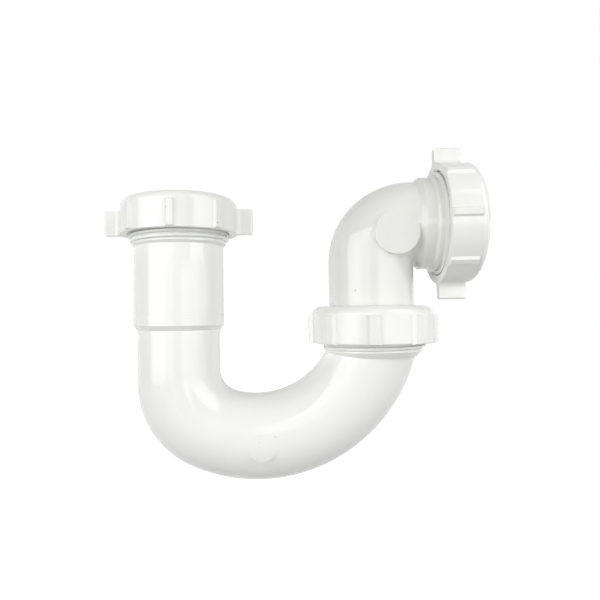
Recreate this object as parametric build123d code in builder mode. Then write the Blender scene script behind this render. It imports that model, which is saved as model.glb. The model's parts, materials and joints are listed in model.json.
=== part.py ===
from build123d import *

import os
from math import atan2, cos, degrees, radians, sin, sqrt

# A tubular repair trap: a U-shaped bend with a deep slip socket for the tailpiece, an elbow
# that turns in the bend's other leg, and a threaded nut with a bevelled washer at each joint.
# Millimetres, +Z up. The origin is on the axis of the inlet socket, where its straight bore
# starts below the tapered mouth. The outlet points along +X.

# Tube
tube_od = 38.1
tube_wall = 1.6

# Sockets that take a tube
socket_clearance = 0.3
socket_wall = 1.6
socket_cone = 2.2
stop_cone = 1.9
inlet_socket_draft = 0.2
inlet_socket_outside = 37.5
outlet_socket_outside = 5.4
mouth_flare = 1.6
mouth_depth = 2.8

# Threaded ends
spigot_wall = 2.65
collar_chamfer = 1.2
rim_round = 0.5
thread_depth = 1.36

# Bend, along the centre of its tube
leg_spacing = 89.1
straight_leg = 23.4
tight_radius = 22.2
tight_turn = 67.0
throat_radius = 29.6
throat_inset = 0.05
entry_lean = 17.1
union_overlap = 1.5
union_chamfer = 2.4
union_floor = 1.2
union_tail = 4.0
bowl_pad_radius = 5.6
bowl_pad_across = 3.8
bowl_pad_drop = 1.6
bowl_pad_proud = 0.1

# Elbow
elbow_radius = 17.7
elbow_rise = 45.0
leg_insert = 10.0
outlet_run = 1.9
pad_radius = 9.45
pad_across = 9.1
pad_drop = 6.3
pad_proud = 0.6

# Nuts
thread_clearance = 0.24
nut_wall = 3.8
nut_height = 16.5
nut_roof = 3.0
nut_hole_clearance = 0.4
shoulder_radius = 4.0
nut_edge_round = 0.5
nut_lead_in = 0.8
rib_top = 12.45
shoulder_step = 0.12
slip_rib_start = 0.45
slip_rib_height = 1.1
slip_rib_width = 2.5
slip_rib_count = 3
slip_rib_first = 45
slip_rib_arc = 90
union_rib_start = 0.1
union_rib_height = 1.5
union_rib_width = 3.6
union_rib_count = 9
union_rib_first = -90
rib_flank = 0.7
rib_round = 0.35
rib_end_round = 0.7
rib_band_margin = 0.1

# Wings of the slip nuts
wing_reach = 7.5
wing_thickness = 4.0
wing_start = 0.15
wing_height = 11.7
wing_root_radius = 3.0
wing_tip_radius = 1.0
wing_corner_radius = 0.9
wing_band_margin = 0.15

# Washers
washer_fit = 0.1
washer_height = 6.5
washer_stand = 4.5
washer_nut_clearance = 1.0
seat_gap = 0.3
roof_gap = 0.1

# How far each nut's open end stands from its collar, and how far round it is turned
inlet_nut_gap = 4.6
outlet_nut_gap = 2.85
union_nut_gap = 3.6
inlet_nut_clock = 3.6
outlet_nut_clock = -0.7
union_nut_clock = -6.0

tube_radius = tube_od / 2
tube_bore = tube_radius - tube_wall
socket_bore = tube_radius + socket_clearance
socket_radius = socket_bore + socket_wall
spigot_radius = socket_bore + spigot_wall
mouth_radius = socket_bore + mouth_flare
nut_bore = spigot_radius + thread_depth + thread_clearance
nut_radius = nut_bore + nut_wall
nut_inside = nut_height - nut_roof
nut_root = nut_radius - nut_wall / 2
pad_root = tube_bore / 2

# Each threaded end is as long as its nut needs to press the washer into the mouth
inlet_spigot = inlet_nut_gap + nut_inside - washer_stand
outlet_spigot = outlet_nut_gap + nut_inside - washer_stand
union_spigot = union_nut_gap + nut_inside - washer_stand

# Heights along the inlet leg
inlet_rim_z = mouth_depth
inlet_collar_z = inlet_rim_z - inlet_spigot
inlet_cone_z = inlet_collar_z - inlet_socket_outside
bend_top_z = inlet_cone_z - socket_cone
bend_start_z = bend_top_z - straight_leg

# The wide arc takes up what the tight one leaves of the leg spacing
wide_radius = (leg_spacing - tight_radius * (1 - cos(radians(tight_turn)))) / (
    cos(radians(tight_turn)) + cos(radians(entry_lean))
)
union_centre_z = (
    bend_start_z
    - tight_radius * sin(radians(tight_turn))
    - wide_radius * (sin(radians(entry_lean)) - sin(radians(tight_turn)))
)
wide_centre_x = leg_spacing - wide_radius * cos(radians(entry_lean))
wide_centre_z = union_centre_z + wide_radius * sin(radians(entry_lean))
union_collar_z = union_centre_z - union_overlap
union_rim_z = union_collar_z + union_spigot

# Elbow, about the union's axis
outlet_z = union_rim_z + elbow_rise
outlet_cone_x = leg_spacing + elbow_radius + outlet_run
outlet_collar_x = outlet_cone_x + socket_cone + outlet_socket_outside
outlet_rim_x = outlet_collar_x + outlet_spigot

# Planes square to each joint's axis, facing the way its nut unscrews
inlet_mouth = Plane((0, 0, inlet_rim_z), x_dir=(1, 0, 0), z_dir=(0, 0, 1))
union_mouth = Plane((leg_spacing, 0, union_rim_z), x_dir=(1, 0, 0), z_dir=(0, 0, 1))
outlet_mouth = Plane((outlet_rim_x, 0, outlet_z), x_dir=(0, 0, 1), z_dir=(1, 0, 0))


def section_plane(mouth: Plane) -> Plane:
    """The half-section plane of a joint: x is the radius, y the distance out along the axis."""
    return Plane(mouth.origin, x_dir=mouth.x_dir, z_dir=mouth.x_dir.cross(mouth.z_dir))


def joint_axis(mouth: Plane) -> Axis:
    """The axis of a joint, pointing the way its nut unscrews."""
    return Axis(mouth.origin, mouth.z_dir)


def bend_centreline(corner_radius: float) -> Wire:
    """The centre of a tube round the bend, from the socket's cone to inside the union's collar."""
    # The corner's arc touches the leg and the wide arc, whatever its radius
    corner_across = wide_centre_x - corner_radius
    corner_drop = sqrt((wide_radius - corner_radius) ** 2 - corner_across**2)
    corner_turn = degrees(atan2(corner_drop, corner_across))
    with BuildLine(Plane.XZ) as centreline:
        leg = Line((0, bend_top_z), (0, wide_centre_z - corner_drop))
        corner = JernArc(leg @ 1, leg % 1, corner_radius, corner_turn)
        wide = JernArc(corner @ 1, corner % 1, wide_radius, 180 - entry_lean - corner_turn)
        Line(wide @ 1, wide @ 1 + (wide % 1) * union_tail)
    return centreline.wire()


def make_bend_tube(radius: float) -> BuildPart:
    """A solid bar along the bend, whose corner is rounder on its inner side than its outer side."""
    with BuildPart() as bar:
        # The throat's bar is a touch thinner, so that it starts inside the other
        for corner_radius, bar_radius in ((tight_radius, radius), (throat_radius, radius - throat_inset)):
            centreline = bend_centreline(corner_radius)
            with BuildSketch(Plane(centreline @ 0, z_dir=centreline % 0)):
                Circle(bar_radius)
            sweep(path=centreline)
    return bar


def socket_section(length: float, draft: float, spigot: float) -> Sketch:
    """Half-section of a slip socket with its threaded end, cone and stop, seen from its mouth."""
    foot = -length - socket_cone
    with BuildSketch() as section:
        with BuildLine():
            Polyline(
                (mouth_radius, 0),
                (spigot_radius - rim_round, 0),
                (spigot_radius, -rim_round),
                (spigot_radius, -spigot),
                (socket_radius - draft, -spigot - collar_chamfer),
                (socket_radius, -length),
                (tube_radius, foot),
                (tube_bore, foot),
                (tube_bore, -length - stop_cone),
                (socket_bore, -length),
                (socket_bore, -mouth_depth),
                close=True,
            )
        make_face()
    return section.sketch


def make_inlet_socket() -> BuildPart:
    """The deep socket that takes the tailpiece, with the thread of the inlet's slip nut."""
    with BuildPart() as inlet_socket:
        with BuildSketch(section_plane(inlet_mouth)):
            add(socket_section(inlet_spigot + inlet_socket_outside, inlet_socket_draft, inlet_spigot))
        revolve(axis=joint_axis(inlet_mouth))
    return inlet_socket


def make_outlet_socket() -> BuildPart:
    """The short socket that takes the waste tube, with the thread of the outlet's slip nut."""
    with BuildPart() as outlet_socket:
        with BuildSketch(section_plane(outlet_mouth)):
            add(socket_section(outlet_spigot + outlet_socket_outside, 0, outlet_spigot))
        revolve(axis=joint_axis(outlet_mouth))
    return outlet_socket


def make_j_bend() -> BuildPart:
    """The U-shaped tube, from the inlet socket's cone to the collar of the union."""
    with BuildPart() as j_bend:
        add(make_bend_tube(tube_radius).part)

        # The collar's chamfer runs down to the tube, which leans into the union
        with BuildSketch(section_plane(union_mouth)):
            with BuildLine():
                Polyline(
                    (0, -union_spigot),
                    (spigot_radius, -union_spigot),
                    (spigot_radius - union_chamfer, -union_spigot - union_chamfer),
                    (0, -union_spigot - union_chamfer),
                    close=True,
                )
            make_face()
        revolve(axis=joint_axis(union_mouth))
        with BuildSketch(union_mouth.offset(-union_spigot)):
            Circle(spigot_radius)
        extrude(amount=union_spigot, mode=Mode.SUBTRACT)

        # Small flat pad on the side of the bowl, near its lowest point
        with BuildSketch(Plane.XZ.offset(pad_root)):
            with Locations((wide_centre_x + bowl_pad_across, wide_centre_z - wide_radius - bowl_pad_drop)):
                Circle(bowl_pad_radius)
        extrude(amount=tube_radius + bowl_pad_proud - pad_root)
        add(make_bend_tube(tube_bore).part, mode=Mode.SUBTRACT)
    return j_bend


def make_union_end() -> BuildPart:
    """The bend's threaded end: a socket for the elbow's leg, with a floor that the bend opens in."""
    with BuildPart() as union_end:
        with BuildSketch(section_plane(union_mouth)):
            with BuildLine():
                Polyline(
                    (mouth_radius, 0),
                    (spigot_radius - rim_round, 0),
                    (spigot_radius, -rim_round),
                    (spigot_radius, -union_spigot),
                    (0, -union_spigot),
                    (0, union_floor - union_spigot),
                    (socket_bore, union_floor - union_spigot),
                    (socket_bore, -mouth_depth),
                    close=True,
                )
            make_face()
        revolve(axis=joint_axis(union_mouth))
        add(make_bend_tube(tube_bore).part, mode=Mode.SUBTRACT)
    return union_end


def make_trap_elbow() -> BuildPart:
    """The elbow: a plain leg that turns in the union, and a tight turn towards the wall."""
    turn_x = leg_spacing + elbow_radius
    turn_z = outlet_z - elbow_radius
    foot_z = union_rim_z - leg_insert
    outlet_foot = Plane((outlet_cone_x, 0, outlet_z), x_dir=(0, 0, 1), z_dir=(1, 0, 0))
    with BuildPart() as trap_elbow:
        # The leg is a plain tube up to the turn, and the run another on to the outlet's socket
        with BuildSketch(Plane.XY.offset(foot_z)):
            with Locations((leg_spacing, 0)):
                Circle(tube_radius)
        extrude(amount=turn_z - foot_z)
        with BuildSketch(outlet_foot):
            Circle(tube_radius)
        extrude(amount=turn_x - outlet_cone_x)

        # The turn is tighter than the tube's own radius, so its section stops at the axis of
        # the turn and the two straight runs meet in a sharp inside corner
        with BuildSketch(Plane.XY.offset(turn_z)):
            with Locations((leg_spacing, 0)):
                Circle(tube_radius)
            with Locations((turn_x, 0)):
                Rectangle(tube_od, tube_od, align=(Align.MIN, Align.CENTER), mode=Mode.SUBTRACT)
        revolve(axis=Axis((turn_x, 0, turn_z), (0, 1, 0)), revolution_arc=90)

        # Flat round pad on the side of the turn
        with BuildSketch(Plane.XZ.offset(pad_root)):
            with Locations((leg_spacing + pad_across, outlet_z - pad_drop)):
                Circle(pad_radius)
        extrude(amount=tube_radius + pad_proud - pad_root)

        # The waterway
        with BuildLine(Plane.XZ) as waterway:
            leg = Line((leg_spacing, foot_z), (leg_spacing, turn_z))
            turn = JernArc(leg @ 1, leg % 1, elbow_radius, -90)
            Line(turn @ 1, (outlet_cone_x, outlet_z))
        with BuildSketch(Plane.XY.offset(foot_z)):
            with Locations((leg_spacing, 0)):
                Circle(tube_bore)
        sweep(path=waterway.wire(), mode=Mode.SUBTRACT)
    return trap_elbow


def nut_section() -> Sketch:
    """Half-section of a nut: x is the radius, y the height above its open end."""
    hole = tube_radius + nut_hole_clearance
    shoulder = nut_radius - shoulder_step
    with BuildSketch() as section:
        with BuildLine():
            Polyline(
                (shoulder, nut_height - shoulder_radius),
                (shoulder, rib_top),
                (nut_radius, rib_top),
                (nut_radius, nut_edge_round),
                (nut_radius - nut_edge_round, 0),
                (nut_bore + nut_lead_in, 0),
                (nut_bore, nut_lead_in),
                (nut_bore, nut_inside),
                (hole, nut_inside),
                (hole, nut_height),
                (shoulder - shoulder_radius, nut_height),
            )
            RadiusArc(
                (shoulder - shoulder_radius, nut_height),
                (shoulder, nut_height - shoulder_radius),
                shoulder_radius,
            )
        make_face()
    return section.sketch


def rib_section(width: float, height: float) -> Sketch:
    """Section of a grip rib, rooted in the nut's wall, with sloping flanks and rounded edges."""
    tip = nut_radius + height
    foot = width / 2 + height * rib_flank
    with BuildSketch() as section:
        Polygon(
            (nut_root, -foot),
            (nut_radius, -foot),
            (tip, -width / 2),
            (tip, width / 2),
            (nut_radius, foot),
            (nut_root, foot),
            align=None,
        )
        fillet(section.vertices().group_by(Axis.X)[-1], rib_round)
    return section.sketch


def slip_rib_sections() -> Sketch:
    """Sections of a slip nut's ribs, some on either side between where its wings stand."""
    with BuildSketch() as sections:
        for first in (slip_rib_first, slip_rib_first + 180):
            with PolarLocations(0, slip_rib_count, first, slip_rib_arc, endpoint=True):
                add(rib_section(slip_rib_width, slip_rib_height))
    return sections.sketch


def union_rib_sections() -> Sketch:
    """Sections of the union nut's ribs, all round."""
    with BuildSketch() as sections:
        with PolarLocations(0, union_rib_count, union_rib_first):
            add(rib_section(union_rib_width, union_rib_height))
    return sections.sketch


def band_section(reach: float, start: float, height: float, corner_radius: float) -> Sketch:
    """Half-section of the band round a nut that its ribs or wings keep to, with rounded corners."""
    with BuildSketch() as section:
        with Locations((0, start)):
            Rectangle(reach, height, align=Align.MIN)
        fillet(section.vertices().group_by(Axis.X)[-1], corner_radius)
    return section.sketch


def wing_section() -> Sketch:
    """Section of the two wings on their ring: hollow roots at the barrel and rounded tips."""
    reach = nut_radius + wing_reach
    with BuildSketch() as section:
        Circle(nut_radius)
        Rectangle(2 * reach, wing_thickness)
        tips = section.vertices().filter_by(lambda corner: abs(corner.X) > reach - wing_tip_radius)
        fillet(tips, wing_tip_radius)
        roots = section.vertices().filter_by(lambda corner: abs(corner.X) < nut_radius)
        fillet(roots, wing_root_radius)
        Circle(nut_root, mode=Mode.SUBTRACT)
    return section.sketch


def open_end(mouth: Plane, gap: float, spigot: float, clock: float) -> Plane:
    """The plane of a nut's open end, turned about the joint's axis by the nut's clock angle."""
    turned = mouth.x_dir.rotate(Axis((0, 0, 0), mouth.z_dir), clock)
    centre = mouth.origin + mouth.z_dir * (gap - spigot)
    return Plane(centre, x_dir=turned, z_dir=mouth.z_dir)


def make_ribs(base: Plane, sections: Sketch, height: float, start: float) -> BuildPart:
    """Grip ribs for a nut with its open end on the base plane, rounded over at both ends."""
    band_reach = nut_radius + height + rib_band_margin
    with BuildPart() as ribs:
        with BuildSketch(base.offset(start)):
            add(sections)
        extrude(amount=rib_top - start)
        with BuildSketch(section_plane(base)):
            add(band_section(band_reach, start, rib_top - start, rib_end_round))
        revolve(axis=joint_axis(base), mode=Mode.INTERSECT)
    return ribs


def make_wings(base: Plane) -> BuildPart:
    """The two wings of a slip nut on a ring, with rounded corners."""
    band_reach = nut_radius + wing_reach + wing_band_margin
    with BuildPart() as wings:
        with BuildSketch(base.offset(wing_start)):
            add(wing_section())
        extrude(amount=wing_height)
        with BuildSketch(section_plane(base)):
            add(band_section(band_reach, wing_start, wing_height, wing_corner_radius))
        revolve(axis=joint_axis(base), mode=Mode.INTERSECT)
    return wings


def make_slip_nut(base: Plane) -> BuildPart:
    """A slip nut with three grip ribs between its two wings, on either side."""
    with BuildPart() as slip_nut:
        with BuildSketch(section_plane(base)):
            add(nut_section())
        revolve(axis=joint_axis(base))
        add(make_wings(base).part)
        add(make_ribs(base, slip_rib_sections(), slip_rib_height, slip_rib_start).part)
    return slip_nut


def make_union_nut(base: Plane) -> BuildPart:
    """The union nut, with grip ribs all round and no wings."""
    with BuildPart() as union_nut:
        with BuildSketch(section_plane(base)):
            add(nut_section())
        revolve(axis=joint_axis(base))
        add(make_ribs(base, union_rib_sections(), union_rib_height, union_rib_start).part)
    return union_nut


def make_washer(mouth: Plane) -> BuildPart:
    """A bevelled slip washer: flat against the nut's roof, tapered into the socket's mouth."""
    top = washer_stand - roof_gap
    foot = washer_stand - washer_height
    bore = tube_radius + washer_fit
    widest = nut_bore - washer_nut_clearance
    taper = mouth_flare / mouth_depth
    foot_radius = mouth_radius + foot * taper - seat_gap
    with BuildPart() as washer:
        with BuildSketch(section_plane(mouth)):
            with BuildLine():
                Polyline(
                    (bore, foot),
                    (foot_radius, foot),
                    (widest, foot + (widest - foot_radius) / taper),
                    (widest, top),
                    (bore, top),
                    close=True,
                )
            make_face()
        revolve(axis=joint_axis(mouth))
    return washer


inlet_open_end = open_end(inlet_mouth, inlet_nut_gap, inlet_spigot, inlet_nut_clock)
union_open_end = open_end(union_mouth, union_nut_gap, union_spigot, union_nut_clock)
outlet_open_end = open_end(outlet_mouth, outlet_nut_gap, outlet_spigot, outlet_nut_clock)

pieces = {
    "inlet_socket": make_inlet_socket(),
    "j_bend": make_j_bend(),
    "union_end": make_union_end(),
    "trap_elbow": make_trap_elbow(),
    "outlet_socket": make_outlet_socket(),
    "union_nut": make_union_nut(union_open_end),
    "union_washer": make_washer(union_mouth),
    "inlet_slip_nut": make_slip_nut(inlet_open_end),
    "inlet_washer": make_washer(inlet_mouth),
    "outlet_slip_nut": make_slip_nut(outlet_open_end),
    "outlet_washer": make_washer(outlet_mouth),
}

os.makedirs("parts", exist_ok=True)
for name, piece in pieces.items():
    piece.part.label = name
    export_step(piece.part, f"parts/{name}.step")
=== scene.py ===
"""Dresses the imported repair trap: white moulded plastic, screw threads, mould marks and a studio.

Everything is in metres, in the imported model's own frame: the origin is on the axis of the inlet
socket, +Z is up that axis and +X points the way the outlet does.
"""
import json
import logging
from dataclasses import dataclass, replace
from enum import Enum
from math import ceil, cos, pi, radians, sin

import bmesh
import bpy
from mathutils import Matrix, Vector
from mathutils.bvhtree import BVHTree


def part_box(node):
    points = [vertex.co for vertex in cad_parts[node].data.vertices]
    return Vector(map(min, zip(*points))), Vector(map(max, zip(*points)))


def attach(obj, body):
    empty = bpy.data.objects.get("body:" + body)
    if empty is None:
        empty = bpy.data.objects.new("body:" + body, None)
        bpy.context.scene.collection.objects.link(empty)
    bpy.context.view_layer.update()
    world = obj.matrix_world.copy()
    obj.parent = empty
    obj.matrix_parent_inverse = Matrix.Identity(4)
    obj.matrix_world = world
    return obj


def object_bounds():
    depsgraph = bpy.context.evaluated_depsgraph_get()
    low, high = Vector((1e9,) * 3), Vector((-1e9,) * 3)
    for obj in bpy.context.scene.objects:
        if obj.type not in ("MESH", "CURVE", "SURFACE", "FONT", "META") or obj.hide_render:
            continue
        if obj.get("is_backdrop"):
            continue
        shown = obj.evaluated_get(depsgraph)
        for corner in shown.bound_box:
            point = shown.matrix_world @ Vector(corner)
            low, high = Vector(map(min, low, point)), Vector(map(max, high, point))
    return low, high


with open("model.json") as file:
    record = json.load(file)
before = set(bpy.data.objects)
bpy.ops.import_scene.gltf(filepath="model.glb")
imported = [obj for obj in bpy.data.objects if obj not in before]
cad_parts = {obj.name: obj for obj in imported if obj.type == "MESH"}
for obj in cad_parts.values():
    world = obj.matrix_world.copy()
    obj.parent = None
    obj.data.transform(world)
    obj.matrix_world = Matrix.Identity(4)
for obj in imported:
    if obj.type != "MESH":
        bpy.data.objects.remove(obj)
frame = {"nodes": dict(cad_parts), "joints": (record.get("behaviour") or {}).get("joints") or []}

# PITCH is the thread's, 11.5 turns to the inch.
# WELD is how deep a ridge's foot is sunk in its wall.
# MIX_INPUTS are a colour Mix node's sockets for its share, first and second colour, and MIX_OUTPUT
# is the one for its result.
MM = 0.001
PITCH = 25.4 / 11.5 * MM
WELD = 0.06 * MM
MIX_INPUTS = (0, 6, 7)
MIX_OUTPUT = 2
WHITE = (1.0, 1.0, 1.0, 1.0)

log = logging.getLogger("repair_trap")


class Body(Enum):
    """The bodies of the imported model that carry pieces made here."""

    BEND = "bend"
    ELBOW = "elbow"
    INLET_NUT = "inlet_ring"
    UNION_NUT = "union_ring"
    OUTLET_NUT = "outlet_ring"


class Slot(Enum):
    """The record's material slots."""

    PIPE = "pipe"
    NUT = "nut"


class Moulding(Enum):
    """What a moulding is finished in."""

    BEND = "gloss_white_bend"
    ELBOW = "gloss_white_elbow"
    NUT = "gloss_white_nut"
    SEAL = "soft_seal"


class Socket(Enum):
    """Kinds of node-group socket."""

    COLOUR = "NodeSocketColor"
    VALUE = "NodeSocketFloat"
    VECTOR = "NodeSocketVector"


@dataclass(frozen=True)
class Station:
    """One stop of a swept ridge: a point on a surface, and the ways off it and across the ridge."""

    point: Vector
    off: Vector
    across: Vector
    growth: float = 1.0


@dataclass(frozen=True)
class TurningAxis:
    """The axis of a threaded joint, from the centre of its rim, the way its nut unscrews."""

    centre: Vector
    out: Vector
    side: Vector

    @classmethod
    def of_joint(cls, joint: str, side: Vector) -> "TurningAxis":
        """Reads a joint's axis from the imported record.

        Args:
            joint: the name of the nut's hinge.
            side: the direction that angles start from, square to the axis.

        Returns:
            The axis, with its origin at the rim.
        """
        found = next(entry for entry in frame["joints"] if entry["name"] == joint)
        return cls(Vector(found["pos_m"]), Vector(found["axis"]).normalized(), side)

    def radial(self, angle: float) -> Vector:
        """The direction off the axis at an angle in radians."""
        return Matrix.Rotation(angle, 3, self.out) @ self.side

    def point(self, radius: float, angle: float, height: float) -> Vector:
        """The point at a radius, an angle in radians and a height above the rim."""
        return self.centre + self.radial(angle) * radius + self.out * height


class MeshShop:
    """Makes mesh objects in code."""

    @staticmethod
    def sweep(
        name: str, stations: list[Station], profile: list[tuple[float, float]], closed: bool
    ) -> bpy.types.Object:
        """Sweeps a closed profile through a line of stations.

        Args:
            name: the new object's name.
            stations: the stops, in order.
            profile: (across, off) pairs in metres, once round the profile.
            closed: whether the last stop joins the first.

        Returns:
            A smooth-shaded mesh object, capped at its ends when it isn't closed.
        """
        shape = bmesh.new()
        rings = []
        for stop in stations:
            ring = []
            for across, off in profile:
                height = off if off < 0 else off * stop.growth
                corner = stop.point + stop.across * across + stop.off * height
                ring.append(shape.verts.new(corner))
            rings.append(ring)
        count = len(profile)
        pairs = list(zip(rings, rings[1:]))
        if closed:
            pairs.append((rings[-1], rings[0]))
        for first, second in pairs:
            for index in range(count):
                following = (index + 1) % count
                shape.faces.new((first[index], first[following], second[following], second[index]))
        if not closed:
            shape.faces.new(rings[0])
            shape.faces.new(list(reversed(rings[-1])))
        bmesh.ops.recalc_face_normals(shape, faces=shape.faces)
        mesh = bpy.data.meshes.new(name)
        shape.to_mesh(mesh)
        shape.free()
        mesh.shade_smooth()
        piece = bpy.data.objects.new(name, mesh)
        bpy.context.scene.collection.objects.link(piece)
        return piece


@dataclass(frozen=True)
class ScrewThread:
    """A helical thread ridge, right-handed, on a spigot or inside a nut."""

    axis: TurningAxis
    wall_radius: float
    depth: float
    start: float
    end: float
    phase: float = 0.0
    inward: bool = False
    root_width: float = 2.05 * MM
    crest_width: float = 0.95 * MM
    run_out: float = 0.35
    steps_per_turn: int = 96
    corner_shares: tuple[tuple[float, float], ...] = ((0.18, 0.7), (0.09, 0.904), (0.0, 0.985))
    crest_flat: float = 0.4

    def profile(self) -> list[tuple[float, float]]:
        """Draws the ridge's section: sloping flanks, a rounded crest, and a foot in the wall.

        Returns:
            (across, off) pairs, once round the section.
        """
        root = self.root_width / 2
        crest = self.crest_width / 2
        side = [(root, -WELD), (root, 0.0)]
        for run, rise in self.corner_shares:
            side.append((crest + (root - crest) * run, self.depth * rise))
        side.append((crest * self.crest_flat, self.depth))
        return side + [(-across, off) for across, off in reversed(side)]

    def growth(self, turned: float, turns: float) -> float:
        """Eases the ridge in and out of the wall at its two ends.

        Args:
            turned: the turns from the ridge's start.
            turns: the turns of the whole ridge.

        Returns:
            How much of the ridge's depth stands up there, from 0 to 1.
        """
        near_end = min(turned, turns - turned) / self.run_out
        eased = max(0.0, min(1.0, near_end))
        return eased * eased * (3 - 2 * eased)

    def build(self, name: str) -> bpy.types.Object:
        """Makes the ridge.

        Args:
            name: the new object's name.

        Returns:
            The ridge as a mesh object.
        """
        turns = (self.end - self.start) / PITCH
        steps = round(turns * self.steps_per_turn)
        stations = []
        for step in range(steps + 1):
            turned = turns * step / steps
            angle = 2 * pi * turned + self.phase
            radial = self.axis.radial(angle)
            stations.append(
                Station(
                    point=self.axis.point(self.wall_radius, angle, self.start + turned * PITCH),
                    off=-radial if self.inward else radial,
                    across=self.axis.out,
                    growth=self.growth(turned, turns),
                )
            )
        return MeshShop.sweep(name, stations, self.profile(), closed=False)


@dataclass(frozen=True)
class Way:
    """A point inside a hollow moulding, with the way out from it to a mould line."""

    inside: Vector
    out: Vector


@dataclass(frozen=True)
class Arc:
    """A piece of a tube's centreline in the plane of the trap, in metres and degrees."""

    centre_x: float
    centre_z: float
    radius: float
    start: float
    end: float

    def ways(self, spacing: float, inner: bool) -> list[Way]:
        """Follows the arc.

        Args:
            spacing: the distance between points.
            inner: whether the way out is towards the arc's centre.

        Returns:
            Points along the arc with the way out from each.
        """
        sweep = self.end - self.start
        steps = ceil(abs(radians(sweep)) * self.radius / spacing)
        found = []
        for step in range(steps + 1):
            angle = radians(self.start + sweep * step / steps)
            out = Vector((cos(angle), 0.0, sin(angle)))
            inside = Vector((self.centre_x, 0.0, self.centre_z)) + out * self.radius
            found.append(Way(inside, -out if inner else out))
        return found


@dataclass(frozen=True)
class Run:
    """A straight piece of a tube's centreline in the plane of the trap, in metres."""

    start: tuple[float, float]
    end: tuple[float, float]
    out: tuple[float, float]

    def ways(self, spacing: float, inner: bool) -> list[Way]:
        """Follows the run.

        Args:
            spacing: the distance between points.
            inner: whether the way out is turned round.

        Returns:
            Points along the run with the way out from each, without its last point.
        """
        first = Vector((self.start[0], 0.0, self.start[1]))
        last = Vector((self.end[0], 0.0, self.end[1]))
        out = Vector((self.out[0], 0.0, self.out[1]))
        steps = ceil((last - first).length / spacing)
        way_out = -out if inner else out
        return [Way(first.lerp(last, step / steps), way_out) for step in range(steps)]


@dataclass(frozen=True)
class MouldLine:
    """A fine raised line that a mould leaves where its parts meet."""

    width: float
    height: float
    reach: float = 25 * MM
    fade: int = 5
    arch_steps: int = 6

    def profile(self) -> list[tuple[float, float]]:
        """Draws the line's section: a low arch with its foot sunk in the wall.

        Returns:
            (across, off) pairs, once round the section.
        """
        half = self.width / 2
        angles = [pi * step / self.arch_steps for step in range(self.arch_steps + 1)]
        arch = [(half * cos(angle), self.height * sin(angle)) for angle in angles]
        return [(half, -WELD)] + arch + [(-half, -WELD)]

    def build(self, name: str, wall: BVHTree, route: list[Way], closed: bool) -> bpy.types.Object:
        """Lays the line on the outside of a wall.

        Args:
            name: the new object's name.
            wall: the wall's surface.
            route: points inside the wall, with the way out to the line.
            closed: whether the line joins up.

        Returns:
            The line as a mesh object, which fades out at its ends when it isn't closed.
        """
        points = [
            wall.ray_cast(way.inside + way.out * self.reach, -way.out, self.reach)[0]
            for way in route
        ]
        last = len(points) - 1
        stations = []
        for index, (point, way) in enumerate(zip(points, route)):
            before = points[index - 1] if closed or index else point
            after = points[(index + 1) % len(points)] if closed or index < last else point
            along = (after - before).normalized()
            across = along.cross(way.out).normalized()
            growth = 1.0 if closed else min(index, last - index, self.fade) / self.fade
            stations.append(Station(point, across.cross(along), across, growth))
        return MeshShop.sweep(name, stations, self.profile(), closed)


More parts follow.
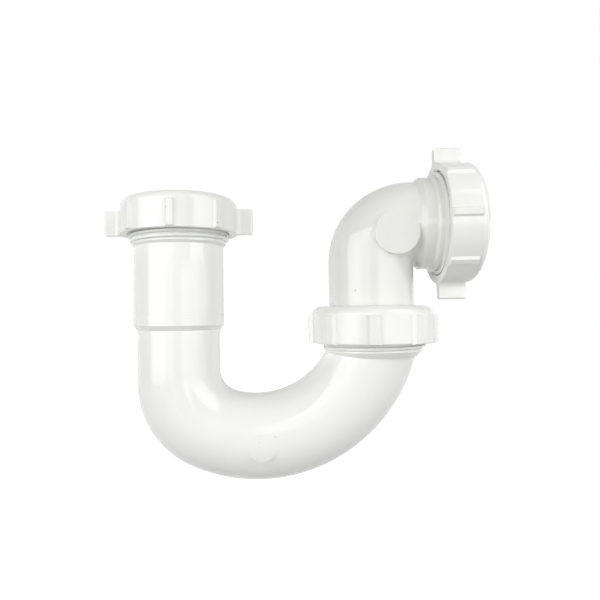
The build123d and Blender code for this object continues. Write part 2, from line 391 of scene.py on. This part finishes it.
class NodeShop:
    """Builds shader node groups and wires nodes."""

    @staticmethod
    def group(
        name: str, inputs: dict[str, tuple[Socket, object]], outputs: dict[str, Socket]
    ) -> tuple[bpy.types.NodeTree, bpy.types.Node, bpy.types.Node]:
        """Starts a node group with named sockets.

        Args:
            name: the group's name.
            inputs: socket names with their kinds and default values.
            outputs: socket names with their kinds.

        Returns:
            The node tree, its input node and its output node.
        """
        tree = bpy.data.node_groups.new(name, "ShaderNodeTree")
        for label, (kind, value) in inputs.items():
            made = tree.interface.new_socket(name=label, in_out="INPUT", socket_type=kind.value)
            made.default_value = value
        for label, kind in outputs.items():
            tree.interface.new_socket(name=label, in_out="OUTPUT", socket_type=kind.value)
        return tree, tree.nodes.new("NodeGroupInput"), tree.nodes.new("NodeGroupOutput")

    @staticmethod
    def use(
        tree: bpy.types.NodeTree, group: bpy.types.NodeTree, settings: dict[str, object]
    ) -> bpy.types.Node:
        """Adds a node that uses a group.

        Args:
            tree: the node tree to add to.
            group: the group.
            settings: values for the node's inputs, by socket name.

        Returns:
            The node.
        """
        node = tree.nodes.new("ShaderNodeGroup")
        node.node_tree = group
        for label, value in settings.items():
            node.inputs[label].default_value = value
        return node

    @staticmethod
    def feed(tree: bpy.types.NodeTree, term: object, socket: bpy.types.NodeSocket) -> None:
        """Links an output to an input socket, or gives the input a plain value.

        Args:
            tree: the node tree to work in.
            term: the output socket, or the value.
            socket: the input socket.
        """
        if isinstance(term, bpy.types.NodeSocket):
            tree.links.new(term, socket)
        else:
            socket.default_value = term

    @staticmethod
    def noise(
        tree: bpy.types.NodeTree, place: bpy.types.NodeSocket, scale: object, detail: float
    ) -> bpy.types.NodeSocket:
        """Adds a noise texture.

        Args:
            tree: the node tree to add to.
            place: the vector socket that it reads.
            scale: a number, or a socket to take the scale from.
            detail: how many octaves it has.

        Returns:
            The socket of its plain value.
        """
        node = tree.nodes.new("ShaderNodeTexNoise")
        node.inputs["Detail"].default_value = detail
        tree.links.new(place, node.inputs["Vector"])
        NodeShop.feed(tree, scale, node.inputs["Scale"])
        return node.outputs["Fac"]

    @staticmethod
    def maths(
        tree: bpy.types.NodeTree, operation: str, *terms: object
    ) -> bpy.types.NodeSocket:
        """Adds a maths node.

        Args:
            tree: the node tree to add to.
            operation: the node's operation.
            terms: numbers or sockets, in order.

        Returns:
            The node's output socket.
        """
        node = tree.nodes.new("ShaderNodeMath")
        node.operation = operation
        for index, term in enumerate(terms):
            NodeShop.feed(tree, term, node.inputs[index])
        return node.outputs[0]

    @staticmethod
    def vector_maths(tree: bpy.types.NodeTree, operation: str, *terms: object) -> bpy.types.Node:
        """Adds a vector maths node.

        Args:
            tree: the node tree to add to.
            operation: the node's operation.
            terms: vectors or sockets, in order.

        Returns:
            The node, for its Vector or its Value socket.
        """
        node = tree.nodes.new("ShaderNodeVectorMath")
        node.operation = operation
        for index, term in enumerate(terms):
            NodeShop.feed(tree, term, node.inputs[index])
        return node

    @staticmethod
    def blend(
        tree: bpy.types.NodeTree, share: object, first: object, second: object
    ) -> bpy.types.NodeSocket:
        """Adds a colour mix node.

        Args:
            tree: the node tree to add to.
            share: how much of the second colour shows, a number or a socket.
            first: the first colour, a tuple or a socket.
            second: the second colour, a tuple or a socket.

        Returns:
            The mixed colour's socket.
        """
        node = tree.nodes.new("ShaderNodeMix")
        node.data_type = "RGBA"
        for index, term in zip(MIX_INPUTS, (share, first, second)):
            NodeShop.feed(tree, term, node.inputs[index])
        return node.outputs[MIX_OUTPUT]


class SkinGroups:
    """The surface effects that the plastics share."""

    drift_detail: float = 3.0
    patch_scale: float = 220.0
    patch_detail: float = 2.0
    ripple_detail: float = 0.0
    grain_detail: float = 1.0
    ragged_scale: float = 3000.0
    ragged_detail: float = 1.0
    face_step: float = 0.05 * MM

    def __init__(self) -> None:
        """Builds each group once."""
        self.skin = self.moulded_skin()
        self.specks = self.moulded_specks()
        self.speck_at = self.placed_speck()
        self.dome = self.domed_face()

    def moulded_skin(self) -> bpy.types.NodeTree:
        """Builds a moulded surface: drifting tone, varying gloss, sink ripples and fine grain.

        Returns:
            The group, with the surface's colour, roughness and height.
        """
        tree, given, out = NodeShop.group(
            "moulded_skin",
            {
                "Base": (Socket.COLOUR, (0.8, 0.8, 0.8, 1.0)),
                "Drift": (Socket.COLOUR, (0.75, 0.75, 0.75, 1.0)),
                "Drift Scale": (Socket.VALUE, 30.0),
                "Drift Amount": (Socket.VALUE, 0.5),
                "Gloss": (Socket.VALUE, 0.25),
                "Gloss Spread": (Socket.VALUE, 0.05),
                "Ripple Scale": (Socket.VALUE, 60.0),
                "Ripple Depth": (Socket.VALUE, 0.00002),
                "Grain Scale": (Socket.VALUE, 1500.0),
                "Grain Depth": (Socket.VALUE, 0.000001),
            },
            {"Colour": Socket.COLOUR, "Roughness": Socket.VALUE, "Height": Socket.VALUE},
        )
        place = tree.nodes.new("ShaderNodeTexCoord").outputs["Object"]
        wanted = given.outputs
        drift = NodeShop.noise(tree, place, wanted["Drift Scale"], self.drift_detail)
        share = NodeShop.maths(tree, "MULTIPLY", drift, wanted["Drift Amount"])
        colour = NodeShop.blend(tree, share, wanted["Base"], wanted["Drift"])
        tree.links.new(colour, out.inputs["Colour"])

        patches = NodeShop.noise(tree, place, self.patch_scale, self.patch_detail)
        centred = NodeShop.maths(tree, "SUBTRACT", patches, 0.5)
        spread = NodeShop.maths(tree, "MULTIPLY", centred, wanted["Gloss Spread"])
        roughness = NodeShop.maths(tree, "ADD", wanted["Gloss"], spread)
        tree.links.new(roughness, out.inputs["Roughness"])

        ripple = NodeShop.noise(tree, place, wanted["Ripple Scale"], self.ripple_detail)
        grain = NodeShop.noise(tree, place, wanted["Grain Scale"], self.grain_detail)
        slow = NodeShop.maths(tree, "MULTIPLY", ripple, wanted["Ripple Depth"])
        fine = NodeShop.maths(tree, "MULTIPLY", grain, wanted["Grain Depth"])
        tree.links.new(NodeShop.maths(tree, "ADD", slow, fine), out.inputs["Height"])
        return tree

    @staticmethod
    def moulded_specks() -> bpy.types.NodeTree:
        """Builds sparse specks of regrind and dust.

        Returns:
            The group, with a mask that is 1 on a speck.
        """
        tree, given, out = NodeShop.group(
            "moulded_specks",
            {
                "Scale": (Socket.VALUE, 90.0),
                "Size": (Socket.VALUE, 0.03),
                "Share": (Socket.VALUE, 0.1),
            },
            {"Mask": Socket.VALUE},
        )
        wanted = given.outputs
        place = tree.nodes.new("ShaderNodeTexCoord").outputs["Object"]
        cells = tree.nodes.new("ShaderNodeTexVoronoi")
        tree.links.new(place, cells.inputs["Vector"])
        tree.links.new(wanted["Scale"], cells.inputs["Scale"])
        near = NodeShop.maths(tree, "LESS_THAN", cells.outputs["Distance"], wanted["Size"])
        pick = tree.nodes.new("ShaderNodeSeparateColor")
        tree.links.new(cells.outputs["Color"], pick.inputs["Color"])
        chosen = NodeShop.maths(tree, "LESS_THAN", pick.outputs["Red"], wanted["Share"])
        tree.links.new(NodeShop.maths(tree, "MULTIPLY", near, chosen), out.inputs["Mask"])
        return tree

    def placed_speck(self) -> bpy.types.NodeTree:
        """Builds one ragged speck at a place on the surface.

        Returns:
            The group, with a mask that is 1 on the speck.
        """
        tree, given, out = NodeShop.group(
            "placed_speck",
            {"Place": (Socket.VECTOR, (0.0, 0.0, 0.0)), "Size": (Socket.VALUE, 0.0005)},
            {"Mask": Socket.VALUE},
        )
        place = tree.nodes.new("ShaderNodeTexCoord").outputs["Object"]
        apart = NodeShop.vector_maths(tree, "DISTANCE", place, given.outputs["Place"])
        ragged = NodeShop.noise(tree, place, self.ragged_scale, self.ragged_detail)
        edge = NodeShop.maths(tree, "MULTIPLY", ragged, given.outputs["Size"])
        reach = NodeShop.maths(tree, "ADD", apart.outputs["Value"], edge)
        mask = NodeShop.maths(tree, "LESS_THAN", reach, given.outputs["Size"])
        tree.links.new(mask, out.inputs["Mask"])
        return tree

    def domed_face(self) -> bpy.types.NodeTree:
        """Builds the doming of a pad's face, which follows the bent tube that it stands on.

        Returns:
            The group, with the face's height over the pad.
        """
        tree, given, out = NodeShop.group(
            "domed_face",
            {
                "Arc Centre": (Socket.VECTOR, (0.0, 0.0, 0.0)),
                "Arc Radius": (Socket.VALUE, 0.05),
                "Tube Radius": (Socket.VALUE, 0.02),
                "Face Centre": (Socket.VECTOR, (0.0, 0.0, 0.0)),
                "Face Radius": (Socket.VALUE, 0.006),
                "Amount": (Socket.VALUE, 1.0),
            },
            {"Height": Socket.VALUE},
        )
        wanted = given.outputs
        place = tree.nodes.new("ShaderNodeTexCoord").outputs["Object"]
        apart = NodeShop.vector_maths(tree, "SUBTRACT", place, wanted["Arc Centre"])
        in_plane = (1.0, 0.0, 1.0)
        flat = NodeShop.vector_maths(tree, "MULTIPLY", apart.outputs["Vector"], in_plane)
        out_from = NodeShop.vector_maths(tree, "LENGTH", flat.outputs["Vector"]).outputs["Value"]
        across = NodeShop.maths(tree, "SUBTRACT", out_from, wanted["Arc Radius"])
        tube = wanted["Tube Radius"]
        below = NodeShop.maths(tree, "MULTIPLY", across, across)
        whole = NodeShop.maths(tree, "MULTIPLY", tube, tube)
        squared = NodeShop.maths(tree, "SUBTRACT", whole, below)
        rise = NodeShop.maths(tree, "SQRT", NodeShop.maths(tree, "MAXIMUM", squared, 0.0))
        fall = NodeShop.maths(tree, "SUBTRACT", rise, tube)
        dome = NodeShop.maths(tree, "MULTIPLY", fall, wanted["Amount"])

        split = tree.nodes.new("ShaderNodeSeparateXYZ")
        tree.links.new(place, split.inputs["Vector"])
        from_face = NodeShop.vector_maths(tree, "DISTANCE", place, wanted["Face Centre"])
        away = from_face.outputs["Value"]
        near = NodeShop.maths(tree, "LESS_THAN", away, wanted["Face Radius"])
        proud = NodeShop.maths(tree, "ADD", split.outputs["Y"], tube)
        stands_off = NodeShop.maths(tree, "LESS_THAN", proud, -self.face_step)
        on_face = NodeShop.maths(tree, "MULTIPLY", near, stands_off)
        tree.links.new(NodeShop.maths(tree, "MULTIPLY", on_face, dome), out.inputs["Height"])
        return tree


@dataclass(frozen=True)
class Dome:
    """A domed pad face on a bent tube, in metres."""

    arc_centre: tuple[float, float, float]
    arc_radius: float
    tube_radius: float
    face_centre: tuple[float, float, float]
    face_radius: float
    amount: float

    def settings(self) -> dict[str, object]:
        """Lists what the domed_face group is given.

        Returns:
            The values for its inputs, by socket name.
        """
        return {
            "Arc Centre": self.arc_centre,
            "Arc Radius": self.arc_radius,
            "Tube Radius": self.tube_radius,
            "Face Centre": self.face_centre,
            "Face Radius": self.face_radius,
            "Amount": self.amount,
        }


@dataclass(frozen=True)
class Speck:
    """A speck that the photograph shows: where it lies and how far it reaches."""

    place: tuple[float, float, float]
    size: float

    def settings(self) -> dict[str, object]:
        """The values for the placed_speck group's inputs, by socket name."""
        return {"Place": self.place, "Size": self.size}


@dataclass(frozen=True)
class PlasticFinish:
    """A moulded plastic, with its colours as the eye sees them and its sizes in metres."""

    base: tuple[float, float, float]
    drift: tuple[float, float, float]
    roughness: float
    ior: float = 1.5
    drift_size: float = 30 * MM
    drift_amount: float = 0.6
    gloss_spread: float = 0.04
    ripple_size: float = 14 * MM
    ripple_depth: float = 0.02 * MM
    grain_size: float = 0.5 * MM
    grain_depth: float = 0.0004 * MM
    speck_share: float = 0.03
    speck_colour: tuple[float, float, float, float] = (0.42, 0.38, 0.33, 1.0)
    specks: tuple[Speck, ...] = ()
    dome: Dome | None = None

    def material(self, name: str, groups: SkinGroups) -> bpy.types.Material:
        """Builds the material.

        Args:
            name: the material's name.
            groups: the shared surface effects.

        Returns:
            A node material.
        """
        made = bpy.data.materials.new(name)
        made.use_nodes = True
        tree = made.node_tree
        shader = tree.nodes["Principled BSDF"]
        skin = NodeShop.use(tree, groups.skin, self.settings())
        colour = self.speckled(tree, groups, skin.outputs["Colour"])
        tree.links.new(colour, shader.inputs["Base Color"])
        tree.links.new(skin.outputs["Roughness"], shader.inputs["Roughness"])
        bump = tree.nodes.new("ShaderNodeBump")
        bump.inputs["Strength"].default_value = 1.0
        bump.inputs["Distance"].default_value = 1.0
        height = skin.outputs["Height"]
        if self.dome:
            face = NodeShop.use(tree, groups.dome, self.dome.settings())
            height = NodeShop.maths(tree, "ADD", height, face.outputs["Height"])
        tree.links.new(height, bump.inputs["Height"])
        tree.links.new(bump.outputs["Normal"], shader.inputs["Normal"])
        shader.inputs["IOR"].default_value = self.ior
        return made

    def settings(self) -> dict[str, object]:
        """Lists what the moulded_skin group is given.

        Returns:
            The values for its inputs, by socket name.
        """
        return {
            "Base": (*self.base, 1.0),
            "Drift": (*self.drift, 1.0),
            "Drift Scale": 1 / self.drift_size,
            "Drift Amount": self.drift_amount,
            "Gloss": self.roughness,
            "Gloss Spread": self.gloss_spread,
            "Ripple Scale": 1 / self.ripple_size,
            "Ripple Depth": self.ripple_depth,
            "Grain Scale": 1 / self.grain_size,
            "Grain Depth": self.grain_depth,
        }

    def speckled(
        self, tree: bpy.types.NodeTree, groups: SkinGroups, colour: bpy.types.NodeSocket
    ) -> bpy.types.NodeSocket:
        """Lays the specks over a colour.

        Args:
            tree: the material's node tree.
            groups: the shared surface effects.
            colour: the plastic's own colour.

        Returns:
            The colour with its specks.
        """
        specks = NodeShop.use(tree, groups.specks, {"Share": self.speck_share})
        mask = specks.outputs["Mask"]
        for speck in self.specks:
            placed = NodeShop.use(tree, groups.speck_at, speck.settings())
            mask = NodeShop.maths(tree, "MAXIMUM", mask, placed.outputs["Mask"])
        return NodeShop.blend(tree, mask, colour, self.speck_colour)


class Finishes:
    """The materials of the mouldings."""

    def __init__(self) -> None:
        """Builds the materials."""
        groups = SkinGroups()
        kinds = {
            Moulding.BEND: PlasticFinish(
                base=(0.905, 0.91, 0.882),
                drift=(0.88, 0.888, 0.852),
                roughness=0.05,
                speck_colour=(0.6, 0.58, 0.52, 1.0),
                specks=(
                    Speck((38.18 * MM, -19.15 * MM, -97.73 * MM), 0.4 * MM),
                    Speck((44.96 * MM, -18.87 * MM, -95.3 * MM), 0.5 * MM),
                ),
                dome=Dome(
                    arc_centre=(35.456 * MM, 0.0, -42.671 * MM),
                    arc_radius=56.125 * MM,
                    tube_radius=19.05 * MM,
                    face_centre=(39.256 * MM, -19.15 * MM, -100.396 * MM),
                    face_radius=6.0 * MM,
                    amount=0.8,
                ),
            ),
            Moulding.ELBOW: PlasticFinish(
                base=(0.815, 0.82, 0.782),
                drift=(0.79, 0.8, 0.752),
                roughness=0.045,
                specks=(Speck((80.17 * MM, -16.82 * MM, -34.07 * MM), 0.7 * MM),),
            ),
            Moulding.NUT: PlasticFinish(
                base=(0.892, 0.894, 0.858),
                drift=(0.872, 0.878, 0.834),
                roughness=0.13,
                ripple_depth=0.008 * MM,
                specks=(
                    Speck((0.2 * MM, -28.09 * MM, 2.17 * MM), 0.7 * MM),
                    Speck((21.03 * MM, -19.25 * MM, -3.63 * MM), 0.6 * MM),
                ),
            ),
            Moulding.SEAL: PlasticFinish(
                base=(0.8, 0.81, 0.78),
                drift=(0.76, 0.77, 0.74),
                roughness=0.55,
                ripple_depth=0.0,
                grain_depth=0.004 * MM,
                speck_share=0.0,
            ),
        }
        self.made = {
            moulding: finish.material(moulding.value, groups) for moulding, finish in kinds.items()
        }


@dataclass
class Assembly:
    """What the sub-assemblies share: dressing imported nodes, and fixing made pieces to a body."""

    finishes: Finishes

    def dress_nodes(self, moulding: Moulding, *nodes: str) -> None:
        """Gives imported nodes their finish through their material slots.

        Args:
            moulding: the finish.
            nodes: the nodes' names.
        """
        for node in nodes:
            for entry in frame["nodes"][node].material_slots:
                entry.material = self.finishes.made[moulding]
            log.info("dressed %s", node)

    def fix(self, piece: bpy.types.Object, body: Body, moulding: Moulding, slot: Slot) -> None:
        """Finishes a made piece and lets it ride on its body.

        Args:
            piece: the piece.
            body: the body that carries it.
            moulding: its finish.
            slot: its material slot in the record; not used.
        """
        piece.data.materials.append(self.finishes.made[moulding])
        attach(piece, body.value)
        log.info("made %s on %s", piece.name, body.value)

    @staticmethod
    def surface(*nodes: str) -> BVHTree:
        """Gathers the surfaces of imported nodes.

        Args:
            nodes: the nodes' names.

        Returns:
            The surfaces, taken together.
        """
        corners: list[Vector] = []
        faces: list[list[int]] = []
        for node in nodes:
            mesh = frame["nodes"][node].data
            first = len(corners)
            corners += [corner.co.copy() for corner in mesh.vertices]
            faces += [[first + index for index in face.vertices] for face in mesh.polygons]
        return BVHTree.FromPolygons(corners, faces)


@dataclass
class JBend(Assembly):
    """The bend: one moulding with its inlet socket and union end, and its mould lines."""

    leg_top: float = -12.5 * MM
    leg_foot: float = -73.9 * MM
    corner: Arc = Arc(
        centre_x=22.2 * MM, centre_z=-73.9 * MM, radius=22.2 * MM, start=180.0, end=247.0
    )
    bowl: Arc = Arc(
        centre_x=35.456 * MM, centre_z=-42.671 * MM, radius=56.125 * MM, start=247.0, end=340.5
    )
    inner_end: float = 327.0
    spacing: float = 1.2 * MM
    line: MouldLine = MouldLine(width=0.5 * MM, height=0.08 * MM)
    seam: MouldLine = MouldLine(width=0.45 * MM, height=0.04 * MM)
    seam_height: float = -43.4 * MM
    seam_steps: int = 96

    def build(self) -> None:
        """Dresses the bend and lays the lines that its mould left."""
        self.dress_nodes(Moulding.BEND, "inlet_socket", "j_bend", "union_end")
        wall = self.surface("inlet_socket", "j_bend")
        leg = Run((0.0, self.leg_top), (0.0, self.leg_foot), (-1.0, 0.0))
        lines = (
            ("bend_outer_line", self.bowl, False),
            ("bend_inner_line", replace(self.bowl, end=self.inner_end), True),
        )
        for name, bowl, inner in lines:
            route = leg.ways(self.spacing, inner) + self.corner.ways(self.spacing, inner)[:-1]
            route += bowl.ways(self.spacing, inner)
            ridge = self.line.build(name, wall, route, False)
            self.fix(ridge, Body.BEND, Moulding.BEND, Slot.PIPE)
        ring = self.seam.build("inlet_seam", wall, self.seam_route(), True)
        self.fix(ring, Body.BEND, Moulding.BEND, Slot.PIPE)

    def seam_route(self) -> list[Way]:
        """Goes round the inlet socket, where two parts of the mould met.

        Returns:
            The socket's middle at the seam's height, with the way out to each stop of the seam.
        """
        inside = Vector((0.0, 0.0, self.seam_height))
        angles = [2 * pi * step / self.seam_steps for step in range(self.seam_steps)]
        return [Way(inside, Vector((cos(angle), sin(angle), 0.0))) for angle in angles]


@dataclass
class TrapElbow(Assembly):
    """The elbow: one moulding with its outlet socket, and the lines its mould left."""

    leg_x: float = 89.1 * MM
    leg_foot: float = -36.5 * MM
    crease: float = -24.0 * MM
    turn: Arc = Arc(
        centre_x=106.8 * MM, centre_z=-20.775 * MM, radius=17.7 * MM, start=180.0, end=90.0
    )
    outlet_z: float = -3.075 * MM
    outlet_end: float = 114.5 * MM
    spacing: float = 1.2 * MM
    line: MouldLine = MouldLine(width=0.5 * MM, height=0.08 * MM)

    def build(self) -> None:
        """Dresses the elbow and lays the lines that its mould left."""
        self.dress_nodes(Moulding.ELBOW, "trap_elbow", "outlet_socket")
        wall = self.surface("trap_elbow", "outlet_socket")
        foot = (self.leg_x, self.leg_foot)
        leg = Run(foot, (self.leg_x, self.turn.centre_z), (-1.0, 0.0))
        top = (self.turn.centre_x, self.outlet_z)
        outlet = Run(top, (self.outlet_end, self.outlet_z), (0.0, 1.0))
        back = leg.ways(self.spacing, False) + self.turn.ways(self.spacing, False)[:-1]
        back += outlet.ways(self.spacing, False)
        front = Run(foot, (self.leg_x, self.crease), (1.0, 0.0)).ways(self.spacing, False)
        for name, route in (("elbow_back_line", back), ("elbow_front_line", front)):
            ridge = self.line.build(name, wall, route, False)
            self.fix(ridge, Body.ELBOW, Moulding.ELBOW, Slot.PIPE)


@dataclass
class SlipJoint(Assembly):
    """One slip joint: the thread on its end, the nut with the thread inside it, and the washer."""

    label: str
    end: str
    nut: str
    washer: str
    holder: Body
    ring: Body
    moulding: Moulding
    side: tuple[float, float, float]
    spigot: float
    phase: float = 135.0
    thread_depth: float = 1.36 * MM
    nut_bore: float = 23.6 * MM
    nut_root_width: float = 1.0 * MM
    nut_crest_width: float = 0.35 * MM
    collar_gap: float = 0.95 * MM
    rim_gap: float = 1.1 * MM
    nut_start: float = -8.0 * MM
    nut_end: float = 0.8 * MM

    def build(self) -> None:
        """Dresses the nut and the washer, and makes both threads.

        The nut's turns lie midway between the turns of the end that it screws on.
        """
        self.dress_nodes(Moulding.NUT, self.nut)
        self.dress_nodes(Moulding.SEAL, self.washer)
        axis = TurningAxis.of_joint(f"{self.label}_nut_turn", Vector(self.side))
        low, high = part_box(self.end)
        start = self.collar_gap - self.spigot
        phase = radians(self.phase)
        outer = ScrewThread(
            axis, (high.y - low.y) / 2, self.thread_depth, start, -self.rim_gap, phase
        )
        self.fix(outer.build(f"{self.label}_thread"), self.holder, self.moulding, Slot.PIPE)
        between = 2 * pi * (self.nut_start - start - PITCH / 2) / PITCH
        inner = ScrewThread(
            axis,
            self.nut_bore,
            self.thread_depth,
            self.nut_start,
            self.nut_end,
            phase + between,
            inward=True,
            root_width=self.nut_root_width,
            crest_width=self.nut_crest_width,
        )
        self.fix(inner.build(f"{self.label}_nut_thread"), self.ring, Moulding.NUT, Slot.NUT)


def slip_joints(finishes: Finishes) -> tuple[SlipJoint, ...]:
    """Lists the trap's three slip joints.

    Args:
        finishes: the materials of the mouldings.

    Returns:
        The inlet's, the union's and the outlet's joint.
    """
    return (
        SlipJoint(
            finishes,
            label="inlet",
            end="inlet_socket",
            nut="inlet_slip_nut",
            washer="inlet_washer",
            holder=Body.BEND,
            ring=Body.INLET_NUT,
            moulding=Moulding.BEND,
            side=(1.0, 0.0, 0.0),
            spigot=13.6 * MM,
        ),
        SlipJoint(
            finishes,
            label="union",
            end="union_end",
            nut="union_nut",
            washer="union_washer",
            holder=Body.BEND,
            ring=Body.UNION_NUT,
            moulding=Moulding.BEND,
            side=(1.0, 0.0, 0.0),
            spigot=12.6 * MM,
        ),
        SlipJoint(
            finishes,
            label="outlet",
            end="outlet_socket",
            nut="outlet_slip_nut",
            washer="outlet_washer",
            holder=Body.ELBOW,
            ring=Body.OUTLET_NUT,
            moulding=Moulding.ELBOW,
            side=(0.0, 0.0, 1.0),
            spigot=11.85 * MM,
        ),
    )


@dataclass(frozen=True)
class SoftLamp:
    """A rectangular studio light, aimed at the trap."""

    name: str
    azimuth: float
    elevation: float
    width: float
    height: float
    radiance: float
    distance: float = 1.0

    def place(self, target: Vector) -> None:
        """Makes the lamp.

        Args:
            target: the point that it is aimed at.
        """
        lamp = bpy.data.lights.new(self.name, "AREA")
        lamp.shape = "RECTANGLE"
        lamp.size = self.width
        lamp.size_y = self.height
        lamp.energy = self.radiance * pi * self.width * self.height
        turn, lift = radians(self.azimuth), radians(self.elevation)
        back = Vector((sin(turn) * cos(lift), -cos(turn) * cos(lift), sin(lift)))
        piece = bpy.data.objects.new(self.name, lamp)
        piece.location = target + back * self.distance
        piece.rotation_euler = back.to_track_quat("Z", "Y").to_euler()
        bpy.context.scene.collection.objects.link(piece)


@dataclass
class Studio:
    """The camera, the lamps, the pale floor and the white surroundings."""

    eye: tuple[float, float, float] = (53.49 * MM, -251.92 * MM, -43.78 * MM)
    yaw: float = -3.44
    pitch: float = 3.92
    roll: float = -0.72
    focal_pixels: float = 542.67
    picture: float = 600.0
    centre: tuple[float, float] = (260.53, 277.15)
    sensor: float = 36.0
    clip_start: float = 10 * MM
    floor_below: float = 110 * MM
    floor_half: float = 6.0
    floor_colour: tuple[float, float, float, float] = (0.45, 0.45, 0.445, 1.0)
    floor_roughness: float = 0.9
    ambient: float = 0.06
    floor_top_up: float = 0.95
    lamps: tuple[SoftLamp, ...] = (
        SoftLamp("left_box", azimuth=-47, elevation=13.5, width=0.87, height=0.79, radiance=2.53),
        SoftLamp("left_core", azimuth=-47, elevation=7, width=0.45, height=0.45, radiance=1.08),
        SoftLamp(
            "left_inner_box", azimuth=-15, elevation=13.5, width=0.28, height=0.79, radiance=1.6
        ),
        SoftLamp("right_box", azimuth=56, elevation=30, width=0.69, height=0.81, radiance=2.73),
        SoftLamp("right_low_box", azimuth=38, elevation=0, width=0.89, height=0.28, radiance=1.97),
        SoftLamp("right_side_box", azimuth=86, elevation=0, width=0.89, height=0.28, radiance=1.15),
        SoftLamp("middle_fill", azimuth=4, elevation=7, width=0.37, height=0.54, radiance=0.35),
        SoftLamp("back_left_fill", azimuth=-125, elevation=15, width=0.8, height=0.9, radiance=0.2),
        SoftLamp("back_right_fill", azimuth=135, elevation=15, width=0.8, height=0.9, radiance=0.2),
    )
    target: tuple[float, float, float] = (55 * MM, 0.0, -50 * MM)

    def build(self) -> None:
        """Sets up the whole studio."""
        self.place_camera()
        self.place_lamps()
        self.lay_floor()
        self.light_world()
        scene = bpy.context.scene
        scene.view_settings.view_transform = "Standard"
        log.info("studio ready")

    def place_camera(self) -> None:
        """Puts the camera where the photograph was taken from, with its framing."""
        yaw, pitch, roll = radians(self.yaw), radians(self.pitch), radians(self.roll)
        forward = Vector((sin(yaw) * cos(pitch), cos(yaw) * cos(pitch), sin(pitch)))
        level = Vector((cos(yaw), -sin(yaw), 0.0))
        upright = level.cross(forward)
        right = level * cos(roll) + upright * sin(roll)
        up = upright * cos(roll) - level * sin(roll)
        camera = bpy.data.cameras.new("camera")
        camera.sensor_width = self.sensor
        camera.lens = self.focal_pixels * self.sensor / self.picture
        camera.shift_x = (self.picture / 2 - self.centre[0]) / self.picture
        camera.shift_y = (self.centre[1] - self.picture / 2) / self.picture
        camera.clip_start = self.clip_start
        piece = bpy.data.objects.new("camera", camera)
        turned = Matrix((right, up, -forward)).transposed().to_4x4()
        piece.matrix_world = Matrix.Translation(Vector(self.eye)) @ turned
        bpy.context.scene.collection.objects.link(piece)
        bpy.context.scene.camera = piece

    def place_lamps(self) -> None:
        """Places the soft boxes round the trap."""
        for lamp in self.lamps:
            lamp.place(Vector(self.target))

    def lay_floor(self) -> None:
        """Lays a pale floor below the trap, white to the camera apart from the trap's shadow."""
        low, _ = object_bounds()
        mesh = bpy.data.meshes.new("floor")
        half = self.floor_half
        corners = [(-half, -half, 0), (half, -half, 0), (half, half, 0), (-half, half, 0)]
        mesh.from_pydata(corners, [], [(0, 1, 2, 3)])
        floor = bpy.data.objects.new("floor", mesh)
        floor.location.z = low[2] - self.floor_below
        bpy.context.scene.collection.objects.link(floor)
        made = bpy.data.materials.new("pale_floor")
        made.use_nodes = True
        tree = made.node_tree
        shader = tree.nodes["Principled BSDF"]
        shader.inputs["Base Color"].default_value = self.floor_colour
        shader.inputs["Roughness"].default_value = self.floor_roughness
        shader.inputs["Emission Color"].default_value = WHITE
        top_up = NodeShop.maths(tree, "MULTIPLY", self.seen_rays(tree), self.floor_top_up)
        tree.links.new(top_up, shader.inputs["Emission Strength"])
        mesh.materials.append(made)
        floor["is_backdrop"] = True

    @staticmethod
    def seen_rays(tree: bpy.types.NodeTree) -> bpy.types.NodeSocket:
        """Finds the rays that show the background: straight, mirrored or refracted ones.

        Args:
            tree: the node tree to add to.

        Returns:
            A value that is 1 for such rays.
        """
        rays = tree.nodes.new("ShaderNodeLightPath").outputs
        seen = NodeShop.maths(tree, "MAXIMUM", rays["Is Camera Ray"], rays["Is Glossy Ray"])
        return NodeShop.maths(tree, "MAXIMUM", seen, rays["Is Transmission Ray"])

    def light_world(self) -> None:
        """Makes the surroundings white to look at and dimmer as a light."""
        world = bpy.data.worlds.new("surroundings")
        world.use_nodes = True
        bpy.context.scene.world = world
        tree = world.node_tree
        background = tree.nodes["Background"]
        background.inputs["Color"].default_value = WHITE
        seen = self.seen_rays(tree)
        rest = 1 - self.ambient
        strength = NodeShop.maths(tree, "MULTIPLY_ADD", seen, rest, self.ambient)
        tree.links.new(strength, background.inputs["Strength"])


def main() -> None:
    """Builds the dressed trap and its studio."""
    logging.basicConfig(level=logging.INFO, format="%(name)s: %(message)s")
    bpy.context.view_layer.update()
    Studio().build()
    finishes = Finishes()
    for assembly in (JBend(finishes), TrapElbow(finishes), *slip_joints(finishes)):
        assembly.build()
    log.info("sizes written")


if __name__ == "__main__":
    main()
